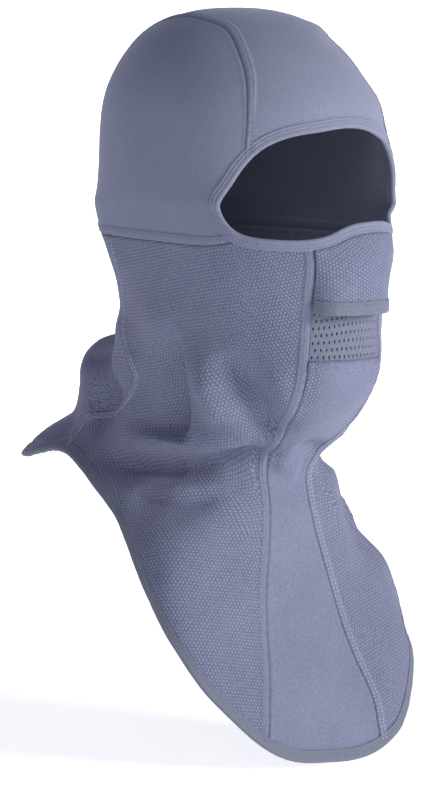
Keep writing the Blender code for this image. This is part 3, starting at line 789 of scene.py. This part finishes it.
# A panel's edge says which seam it is: tucked is the side with the turned allowance under it
seamShape = dict(
    groove=0.5, grooveWidth=0.6, raised=0.8, allowance=5.2, rows=(1.3, 4.0), dip=0.34, dipWidth=0.5,
    stitch=2.3, ridge=(0.25, 2.2, 1.6), rim=(0.5, 9), pucker=(0.13, 6.1, 6),
)
panelThickness = 1.5 * mm


# Across a seam, in mm from it: a groove, then a raised allowance that falls away, with a dip at each row
def seamRelief(gap, along, kind):
    gap, along = gap / mm, along / mm
    shape = seamShape
    relief = -shape["groove"] * np.exp(-(gap / shape["grooveWidth"]) ** 2)
    if kind == "tucked":
        width = shape["allowance"]
        raised = smoothStep(0.1, 1.1, gap) * (1 - smoothStep(width - 0.5, width + 1.2, gap))
        relief += shape["raised"] * raised
        pull = 0.75 + 0.25 * np.cos(2 * np.pi * along / shape["stitch"])
        for row in shape["rows"]:
            relief -= shape["dip"] * pull * np.exp(-((gap - row) / shape["dipWidth"]) ** 2)
    if kind == "plain":
        high, away, width = shape["ridge"]
        relief += high * np.exp(-((gap - away) / width) ** 2)
    if kind == "rim":
        low, width = shape["rim"]
        relief = -low * np.exp(-(gap / width) ** 4)
    high, pitch, width = shape["pucker"]
    phase = along * 2 * np.pi / pitch + 1.3 * np.sin(along / 9.7)
    return (relief + high * np.sin(phase) * np.exp(-(gap / width) ** 2)) * mm


# Distance of each point of a grid from its four edges, measured along the grid's lines
def edgeGaps(points):
    down, across = (lengthsAlong(points, axis) for axis in (0, 1))
    return dict(top=(down, across), bottom=(down[-1:] - down, across), first=(across, down),
                last=(across[:, -1:] - across, down))


# The cloth over a patch of places, raised and sunk beside its edges, with its lining underneath
def makePanel(name, node, places, edges, material, slot, smooth=None):
    base = cloth(places)
    relief = np.zeros(base.shape[:2])
    plain = np.zeros(base.shape[:2]) if smooth is None else smooth(base, places)
    for edge, kinds in edges.items():
        gap, along = edgeGaps(base)[edge]
        for kind, share in kinds if isinstance(kinds, tuple) else ((kinds, 1.0),):
            relief += share * seamRelief(gap, along, kind)
            if kind == "tucked" and smooth is None:
                plain = np.maximum(plain, 1 - smoothStep(5, 6.2, gap / mm))
    outer, inner = cloth(places, relief), cloth(places, relief - panelThickness)
    flat = flattened(base)
    looks = [materials[material], materials["lining"]]
    piece = addShell(name, outer, inner, looks, flat.reshape(-1, 2) / mm, plain)
    settle(piece, "balaclava", node)
    noteCut(name, flat)


# For each panel, rows and columns: how many, and how far they crowd towards the seams
panelSteps = dict(
    hoodSide=((120, 0.55), (120, 0.55)),
    side=((250, 0.6), (140, 0.55)),
    hoodCentre=((260, 0.6), (92, 0.6)),
    backNeck=((140, 0.55), (140, 0.55)),
    front=((230, 0.6), (70, 0.6)),
)
softshell = ("honeycomb", "honeycomb_softshell")
smoothKnit = ("knit", "smooth_knit")


def shareSteps(name):
    return [spots(count, crowd) for count, crowd in panelSteps[name]]


# One side of the head: the hood panel above the ear seam, and the long panel from there to the hem
def makeSide(name):
    found = routes[name]
    meets, ear, eye, hem = (found[key] for key in ("meets", "ear", "eye", "hem"))
    down, across = shareSteps("hoodSide")
    crown, bend = found["crown"], found["bend"]
    places = patch(
        evenly(crown[:bend + 1], across)[::-1], evenly(ear[:meets["crownEar"] + 1][::-1], across),
        evenly(crown[bend:], down), evenly(eye[meets["crown"]:meets["ear"] + 1], down), down, across,
    )
    makePanel("hoodSide" + name.title(), "hood_side_panel_" + name, places,
              dict(top="plain", first="plain", bottom="tucked", last="rim"), *smoothKnit)

    down, across = shareSteps("side")
    rim, seam = eye[meets["ear"]:meets["front"] + 1][::-1], ear[:meets["backEar"] + 1]
    split = lengthsAlong(bodyPoint(rim))[-1]
    split = split / (split + lengthsAlong(bodyPoint(seam))[-1])
    onSeam = smoothStep(split - 0.02, split + 0.02, np.linspace(0, 1, len(across)))[None]
    top = (("rim", 1 - onSeam), ("plain", onSeam))
    places = patch(
        evenly(joined(rim, seam), across), evenly(hem[meets["frontHem"]:meets["backHem"] + 1], across),
        evenly(found["front"], down), evenly(found["back"], down), down, across,
    )
    makePanel("side" + name.title(), "side_panel_" + name, places,
              dict(top=top, bottom="rim", first="tucked", last="tucked"), *softshell)


# The bib is smooth, with cells only beside its seams above the neck
def smoothBib(base, places):
    gaps = edgeGaps(base)
    beside = np.minimum(gaps["first"][0], gaps["last"][0]) / mm
    station = np.hypot(places[..., 0], places[..., 1])
    return np.clip(smoothStep(5, 16, beside) + smoothStep(2.75, 3.1, station), 0, 0.93)


# The panels across the middle: the strip over the crown, the back of the neck and the bib
def makeMiddle():
    both = [routes["right"], routes["left"]]
    down, across = shareSteps("hoodCentre")
    places = patch(
        acrossMiddle("eye", "crown", across, True), acrossMiddle("ear", "crownEar", across, False),
        *[evenly(each["crown"], down) for each in both], down, across, polar=False,
    )
    makePanel("hoodCentre", "hood_centre_panel", places,
              dict(top="rim", bottom="tucked", first="tucked", last="tucked"), *smoothKnit)

    down, across = shareSteps("backNeck")
    places = patch(
        acrossMiddle("ear", "backEar", across, False), acrossMiddle("hem", "backHem", across, False),
        *[evenly(each["back"], down) for each in both], down, across,
    )
    makePanel("backNeck", "back_neck_panel", places,
              dict(top="plain", bottom="rim", first="plain", last="plain"), *softshell)

    down, across = shareSteps("front")
    bibs = [evenly(each["front"][each["chin"]:], down) for each in both]
    places = patch(
        levelRoute(bibs[0][0], bibs[1][0], across), acrossMiddle("hem", "frontHem", across, True),
        *bibs, down, across,
    )
    makePanel("frontBib", "front_panel", places,
              dict(top="tucked", bottom="rim", first="plain", last="plain"), *softshell, smoothBib)


for name in sides:
    makeSide(name)
makeMiddle()
print("panels sewn")


# A net between the front seams, from the rim to the chin: staggered cells of one grid, each with an
# oval hole. Points are (across, down) in cells, then shares of the patch
net = dict(columns=17, rows=17, hole=(0.5, 1.0), sink=0.75, thickness=0.9, steps=90, widen=1.08)


# The outline of a unit cell round its middle, four points to a side
def cellRing():
    side = np.linspace(0, 1, 5)[:-1]
    ring = np.concatenate([
        np.stack([side, 0 * side], 1), np.stack([1 + 0 * side, side], 1),
        np.stack([1 - side, 1 + 0 * side], 1), np.stack([0 * side, 1 - side], 1),
    ])
    return ring - 0.5


def makeNet():
    both = [routes["right"], routes["left"]]
    shares = spots(net["steps"])
    edges = [evenly(each["front"][:each["chin"] + 1], shares) for each in both]
    places = patch(
        acrossMiddle("eye", "front", shares, False), levelRoute(edges[0][-1], edges[1][-1], shares),
        *edges, shares, shares,
    )
    base = cloth(places)
    flat = flattened(base)
    middle = net["steps"] // 2
    wide = np.linalg.norm(base[middle, -1] - base[middle, 0]) * net["widen"]
    tall = np.linalg.norm(base[-1, middle] - base[0, middle])
    cellWide, cellTall = wide / net["columns"] / mm, tall / net["rows"] / mm
    ring = cellRing()
    corners = len(ring)
    angle = np.arctan2(ring[:, 1], ring[:, 0])
    hole = np.stack([np.cos(angle), np.sin(angle)], 1) * net["hole"] / (cellWide, cellTall)
    loops = [ring, ring * 0.5 + hole * 0.5, hole]
    points, quads = [], []
    corner = np.arange(corners)
    following = (corner + 1) % corners
    for row in range(net["rows"]):
        for column in range(net["columns"] - row % 2):
            centre = np.array([column + 0.5 + 0.5 * (row % 2), row + 0.5])
            for k in (0, 1):
                start = (len(points) + k) * corners
                end = start + corners
                four = start + corner, start + following, end + following, end + corner
                quads.append(np.stack(four, 1))
            points += [loop + centre for loop in loops]
    count = len(points) * corners
    halves = []
    for row in range(1, net["rows"], 2):
        for edge in (0, net["columns"] - 0.5):
            grid = np.stack(np.meshgrid(edge + np.linspace(0, 0.5, 3), row + np.linspace(0, 1, 5)), -1)
            quads.append(gridQuads(5, 3)[:, ::-1] + count)
            halves.append(grid.reshape(-1, 2))
            count += 5 * 3
    points = np.concatenate([np.concatenate(points), np.concatenate(halves)])
    quads = np.concatenate(quads)
    kept, merged = np.unique(np.round(points, 4), axis=0, return_inverse=True)
    quads = merged.ravel()[quads]
    column, row = (kept / (net["columns"], net["rows"]) * (net["steps"] - 1)).T
    spot, uv = (between(table, row, column) for table in (places, flat))
    top = cloth(spot, -net["sink"] * mm)
    under = cloth(spot, -(net["sink"] + net["thickness"]) * mm)
    # Walls stand on every edge that only one face has
    ends = np.concatenate([np.stack([quads[:, k], quads[:, (k + 1) % 4]], 1) for k in range(4)])
    lone = np.array(sorted(set(map(tuple, ends)) - set(map(tuple, ends[:, ::-1]))))
    wall = np.stack([lone[:, 1], lone[:, 0], lone[:, 0] + len(kept), lone[:, 1] + len(kept)], 1)
    whole = np.concatenate([quads, quads[:, ::-1] + len(kept), wall])
    a, b, c = (top[quads[0, k]] for k in range(3))
    if np.cross(b - a, c - a) @ (top[quads[0, 0]] - under[quads[0, 0]]) < 0:
        whole = whole[:, ::-1]
    points = np.concatenate([top, under])
    piece = addPiece("mouthNet", points, whole, [materials["spacer"]], uv=np.tile(uv, (2, 1)) / mm)
    settle(piece, "balaclava", "mouth_mesh")
    noteCut("mouthNet", flat)


makeNet()


# A strip folded over an edge. Its section, in mm: inwards from the fold, outwards from the cloth, and
# how much of each corner sinks at the stitches
def foldSection(width, leaf, under, rows):
    top, low = leaf, -under - leaf
    centre, radius = (top + low) / 2, (top - low) / 2
    inwards = np.linspace(width - 0.4, radius, 26)
    turn = np.radians(np.linspace(80, -80, 9))
    outer = [(width, 0.02), (width, leaf * 0.55), (width - 0.12, leaf * 0.88)]
    outer += [(s, top) for s in inwards]
    outer += [(radius - radius * np.cos(t), centre + radius * np.sin(t)) for t in turn]
    outer += [(s, low) for s in inwards[::-5]] + [(width, low + 0.1), (width, low + leaf)]
    inner = [(radius + 0.4, low + leaf), (leaf + 0.3, centre - 0.6), (leaf + 0.3, centre + 0.6)]
    inner += [(radius + 0.4, 0.02)]
    section = np.array(outer + inner)
    dip = sum(np.exp(-((section[:, 0] - row) / 0.5) ** 2) for row in rows)
    return section, dip * (section[:, 1] > centre)


thread = dict(radius=0.3, pitch=2.4, length=1.75, corners=6)


# The strip's points: at(distance in metres) gives the points and normals of a line that far inwards
def sweepFold(name, at, section, dip, level, material, closed):
    line, _ = at(0.0)
    along = lengthsAlong(line) / mm
    pull = 0.4 * (0.72 + 0.28 * np.cos(2 * np.pi * along / thread["pitch"]))
    pucker = 0.16 * np.sin(along * 2 * np.pi / 7.3 + 1.5 * np.sin(along / 11.3)) + 0.1 * np.sin(along / 3.1)
    profiles, uv = [], []
    for (inwards, outwards), sunk in zip(section, dip):
        points, normals = at(inwards * mm)
        height = level + outwards - sunk * pull + pucker * (0.35 if outwards > 0.1 else 0.0)
        profiles.append(points + (height * mm)[:, None] * normals)
        uv.append(np.stack([along, np.full(len(along), inwards + (20 if outwards < 0 else 0))], 1))
    profiles, uv = np.stack(profiles, 1), np.stack(uv, 1)
    if closed:
        profiles, uv = profiles[:-1], uv[:-1]
    return addSwept(name, profiles, [materials[material]], closed, uv.reshape(-1, 2))


# The way from the cloth to a millimetre above it, at unit length
def normalsAt(places):
    return unit(cloth(places, np.full(places.shape[:-1], mm)) - cloth(places))


# Thread along a line: capsules laid end to end, each a ring of six corners at five places along it
def addStitches(name, lines, node, yarn="thread", body="balaclava"):
    rings = np.array([(-1, 0.3), (-0.82, 0.85), (0, 1), (0.82, 0.85), (1, 0.3)])
    corners = thread["corners"]
    turn = np.arange(corners) * 2 * np.pi / corners
    size = len(rings) * corners
    points, quads = [], []
    for line, normals, height in lines:
        run = lengthsAlong(line)
        count = int(run[-1] / mm // thread["pitch"])
        spot = (np.arange(count) + 0.5) / count * run[-1]
        centre, out, ahead = (
            np.stack([np.interp(spot, run, each[:, k]) for k in range(3)], -1)
            for each in (line, normals, np.gradient(line, axis=0))
        )
        out, ahead = unit(out), unit(ahead)
        aside = unit(np.cross(ahead, out))
        wobble = 0.12 * np.sin(spot / mm * 1.7)[:, None]
        ahead = unit(ahead + wobble * aside)
        place, swell = (column[None, :, None, None] for column in rings.T)
        level = height - 0.3 * place ** 2
        radius = thread["radius"] * swell
        cos, sin = (f(turn)[None, None, :, None] for f in (np.cos, np.sin))
        shape = place * thread["length"] / 2 * ahead[:, None, None]
        shape = shape + (level + radius * sin) * out[:, None, None] + radius * cos * aside[:, None, None]
        shape = centre[:, None, None] + shape * mm
        first = sum(len(each) for each in points)
        points.append(shape.reshape(-1, 3))
        k, c = np.arange(len(rings) - 1)[:, None] * corners, np.arange(corners)[None]
        following = (c + 1) % corners
        tube = np.stack([k + c, k + following, k + corners + following, k + corners + c], -1).reshape(-1, 4)
        ends = np.array([(0, 3, 2, 1), (0, 5, 4, 3), (24, 25, 26, 27), (24, 27, 28, 29)])
        one = np.concatenate([tube, ends])
        quads.append((one[None] + size * np.arange(count)[:, None, None] + first).reshape(-1, 4))
    points, quads = np.concatenate(points), np.concatenate(quads)
    a, b, c = (points[quads[:len(one), i]] for i in range(3))
    middle = points[:size].mean(0)
    if ((a - middle) * np.cross(b - middle, c - middle)).sum() < 0:
        quads = quads[:, ::-1]
    settle(addPiece(name, points, quads, [materials[yarn]]), body, node)


# Two rows of stitches beside a route, on one side of it
def seamRows(places, sign, height, closed=False, rows=None):
    lines = []
    for row in rows or seamShape["rows"]:
        line = offset(places, sign * row * mm, closed)
        lines.append((cloth(line), normalsAt(line), height))
    return lines


leaf = 0.75
rims = dict(
    eye=dict(loop=eyeLoop, width=6.5, rows=(4.9, 3.0), level=-0.32, material="knit", count=420,
             node="eye_opening_binding", stitches="eye_binding_topstitch"),
    hem=dict(loop=hemLoop, width=7.5, rows=(6.0, 4.1), level=-0.32, material="facing", count=860,
             node="hem_binding", stitches="hem_binding_topstitch"),
)
for name, rim in rims.items():
    places = evenly(rim["loop"], spots(rim["count"]))
    section, dip = foldSection(rim["width"], leaf, 1.8, rim["rows"])

    def at(distance, places=places):
        line = offset(places, distance, closed=True)
        return cloth(line), normalsAt(line)

    piece = sweepFold(name + "Binding", at, section, dip, rim["level"], rim["material"], True)
    settle(piece, "balaclava", rim["node"])
    height = rim["level"] + leaf - 0.28
    addStitches(name + "Stitches", seamRows(places, 1, height, True, rim["rows"]), rim["stitches"])
print("bindings folded over")

raised = seamShape["raised"] - 0.2
for name, side in sides.items():
    yarns = dict(crown="thread", front="brightThread" if name == "left" else "thread", back="brightThread")
    for seam, yarn in yarns.items():
        lines = seamRows(routes[name][seam][8:-4], -side if seam == "back" else side, raised)
        addStitches(seam + "Stitches" + name.title(), lines, seam + "_seam_band_" + name, yarn)
raised = seamShape["raised"] - 0.15
earLines = []
for name, side in sides.items():
    earLines += seamRows(routes[name]["ear"][8:], side, raised)
addStitches("earStitches", earLines, "ear_seam_band")
chinLine = levelRoute(*[routes[name]["front"][routes[name]["chin"]] for name in sides], spots(80))
addStitches("chinStitches", seamRows(chinLine[3:-3], -1, raised, rows=(1.5,)), "mesh_lower_seam_band")
print("seams stitched")


# The flap: cloth from the rim down over the net, standing off it towards its free edge
flap = dict(
    top=6.7, beside=0.4, lowest=1.95, over=1.3, lift=10, thickness=1.3, rows=90, columns=120, foldWidth=6.0,
    roll=0.7, rollWidth=0.8, sag=0.35, ripple=0.2, hingeLength=20, bend=1.7,
)


# The flap's patch: from under the rim's binding down between the front seams to a level free edge
def flapPlaces(down, across):
    edges = [offset(routes[name]["front"], -side * flap["beside"] * mm) for name, side in sides.items()]
    topRoute = offset(eyeLoop, flap["top"] * mm, closed=True)
    halves = {name: halfOf(topRoute, side) for name, side in sides.items()}
    runs, tops = [], []
    for edge, name in zip(edges, sides):
        start, corner = crossing(edge, halves[name])
        end = int(np.abs(unchart(edge)[1] - flap["lowest"]).argmin())
        runs.append(evenly(edge[start:end + 1], down))
        tops.append(halves[name][corner:])
    top = evenly(joined(tops[0], tops[1][::-1]), across)
    return patch(top, levelRoute(runs[0][-1], runs[1][-1], across), *runs, down, across)


# Height over the net: lift x down^1.25 x (1 - |side|^4.5), with slow waves and the top edge rolled in
def makeFlap():
    down, across = spots(flap["rows"], 0.2), spots(flap["columns"], 0.5)
    places = flapPlaces(down, across)
    side = (2 * across - 1)[None]
    lift = flap["lift"] * down[:, None] ** 1.25 * (1 - np.abs(side) ** 4.5)
    gaps = edgeGaps(cloth(places))
    rolled = -flap["roll"] * np.exp(-(gaps["top"][0] / mm / flap["rollWidth"]) ** 2)
    sag = flap["sag"] * np.sin(side * 7 + 0.6) * down[:, None] ** 2
    sag = sag + flap["ripple"] * np.sin(side * 17) * down[:, None] ** 3
    height = (flap["over"] + lift + rolled + sag * (1 - side ** 4)) * mm
    outer = cloth(places, height)
    turned = np.cross(np.gradient(outer, axis=0), np.gradient(outer, axis=1))
    turned = unit(turned) * np.sign((turned * normalsAt(places)).sum(-1, keepdims=True))
    inner = outer - turned * flap["thickness"] * mm
    flat = flattened(outer)
    piece = addShell("flapCloth", outer, inner, [materials["honeycomb"], materials["lining"]],
                     flat.reshape(-1, 2) / mm)
    hinge = outer[0, flap["columns"] // 2] * (0, 1, 1)
    below = hinge - np.array((0, 0, flap["hingeLength"] * mm))
    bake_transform(piece)
    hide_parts("nose_flap")
    noteCut("flapCloth", flat)

    # The facing's lines: rows of the flap read at a distance from its free edge, or carried on past it
    upwards, tilts = outer[::-1, 2:-2], turned[::-1, 2:-2]
    inwards = unit(upwards[5] - upwards[0])
    near = np.linalg.norm(upwards - upwards[0], axis=2)
    column = np.arange(upwards.shape[1])

    def at(distance):
        gone = distance - flap["bend"] * mm
        if gone < 0:
            return upwards[0] + gone * inwards, unit(tilts[0])
        i = np.clip((near <= gone).sum(0) - 1, 0, len(near) - 2)
        share = ((gone - near[i, column]) / (near[i + 1, column] - near[i, column]))[:, None]
        points, normals = (
            table[i, column] * (1 - share) + table[i + 1, column] * share for table in (upwards, tilts)
        )
        return points, unit(normals)

    width = flap["foldWidth"] + flap["bend"]
    section, dip = foldSection(width, 0.6, flap["thickness"] + 0.3, (flap["foldWidth"],))
    facing = sweepFold("flapFacing", at, section, dip, 0.12, "facing", False)
    settle(facing, "nose_flap", "nose_flap_facing")
    rows = [at(row * mm) for row in (flap["foldWidth"], flap["foldWidth"] + 2.6)]
    lines = [(rows[0][0], rows[0][1], 0.65), (rows[1][0], rows[1][1], 0.1)]
    addStitches("flapStitches", lines, "nose_flap_topstitch", body="nose_flap")


makeFlap()
print("flap hung")


view = dict(place=(-1.2183, -1.4541, -0.0402), below=5.861, turn=39.463, lens=141.53, sensor=36, clip=50)
stage = dict(half=5, radius=1.5, top=6, columns=9, rows=12, glow=0.62)


# A pale floor that runs up a quarter circle into a backdrop, square to the camera
def addFloor():
    half, radius = stage["half"], stage["radius"]
    across = np.linspace(-half, half, stage["columns"])
    bend = np.radians(np.arange(10, 91, 10))
    run = np.concatenate([np.linspace(-half, half, stage["rows"]), half + radius * np.sin(bend)])
    rise = np.concatenate([np.zeros(stage["rows"]), radius - radius * np.cos(bend)])
    run, rise = np.append(run, half + radius), np.append(rise, stage["top"])
    low = min(point[2] for point in cadBox) - 1 * mm
    turn = np.radians(view["turn"])
    ahead = np.array((np.sin(turn), np.cos(turn), 0))
    aside = np.array((ahead[1], -ahead[0], 0))
    points = run[:, None, None] * ahead + across[None, :, None] * aside
    points = points + (low + rise)[:, None, None] * (0, 0, 1)
    made, tree, shader = startMaterial("paleFloor", dict(sheen=0.0))
    shader.inputs["Specular IOR Level"].default_value = 0.1
    space = addNode(tree, "TexCoord", out=3)
    cloudy = addNode(tree, "TexNoise", None, {"Vector": space, "Scale": 2.0})
    link(tree, blendColours(tree, cloudy, (0.93, 0.93, 0.935), (0.95, 0.95, 0.955)), shader, "Base Color")
    link(tree, 0.8 + cloudy * 0.1, shader, "Roughness")
    shader.inputs["Emission Color"].default_value = (1, 1, 1, 1)
    shader.inputs["Emission Strength"].default_value = stage["glow"]
    quads = gridQuads(len(run), stage["columns"])[:, ::-1]
    floor = addPiece("floor", points.reshape(-1, 3), quads, [made])


# A round lamp whose face is turned from its place to its target
def addLight(name, place, target, size, power, colour):
    data = bpy.data.lights.new(name, "AREA")
    data.shape, data.size, data.energy, data.color = "DISK", size, power, colour
    light = bpy.data.objects.new(name, data)
    light.location = place
    away = np.array(place) - np.array(target)
    tilt = np.arctan2(np.hypot(*away[:2]), away[2])
    light.rotation_euler = Euler((tilt, 0, np.arctan2(away[0], -away[1])))
    scene.collection.objects.link(light)


addFloor()
addLight("keyLight", (0.85, -2.0, 0.42), (0, 0, -0.2), 0.7, 42, (1, 0.99, 0.97))
addLight("fillLight", (-1.5, -1.7, 0.35), (0, 0, -0.2), 1.2, 8, (0.97, 0.98, 1))
addLight("backdropLight", (1.2, 1.5, 1.6), (2.9, 3.6, -0.3), 2.4, 150, (1, 1, 1))
world = bpy.data.worlds.new("studio")
world.use_nodes = True
world.node_tree.nodes["Background"].inputs[0].default_value = (0.72, 0.77, 1, 1)
world.node_tree.nodes["Background"].inputs[1].default_value = 0.24
scene.world = world
scene.view_settings.view_transform = "Standard"
lens = bpy.data.cameras.new("lens")
lens.lens, lens.sensor_fit = view["lens"], "VERTICAL"
lens.sensor_height = lens.sensor_width = view["sensor"]
lens.clip_end = view["clip"]
camera = bpy.data.objects.new("camera", lens)
camera.location = view["place"]
camera.rotation_euler = Euler((np.radians(90 - view["below"]), 0, np.radians(-view["turn"])))
scene.collection.objects.link(camera)
scene.camera = camera
print("lit")
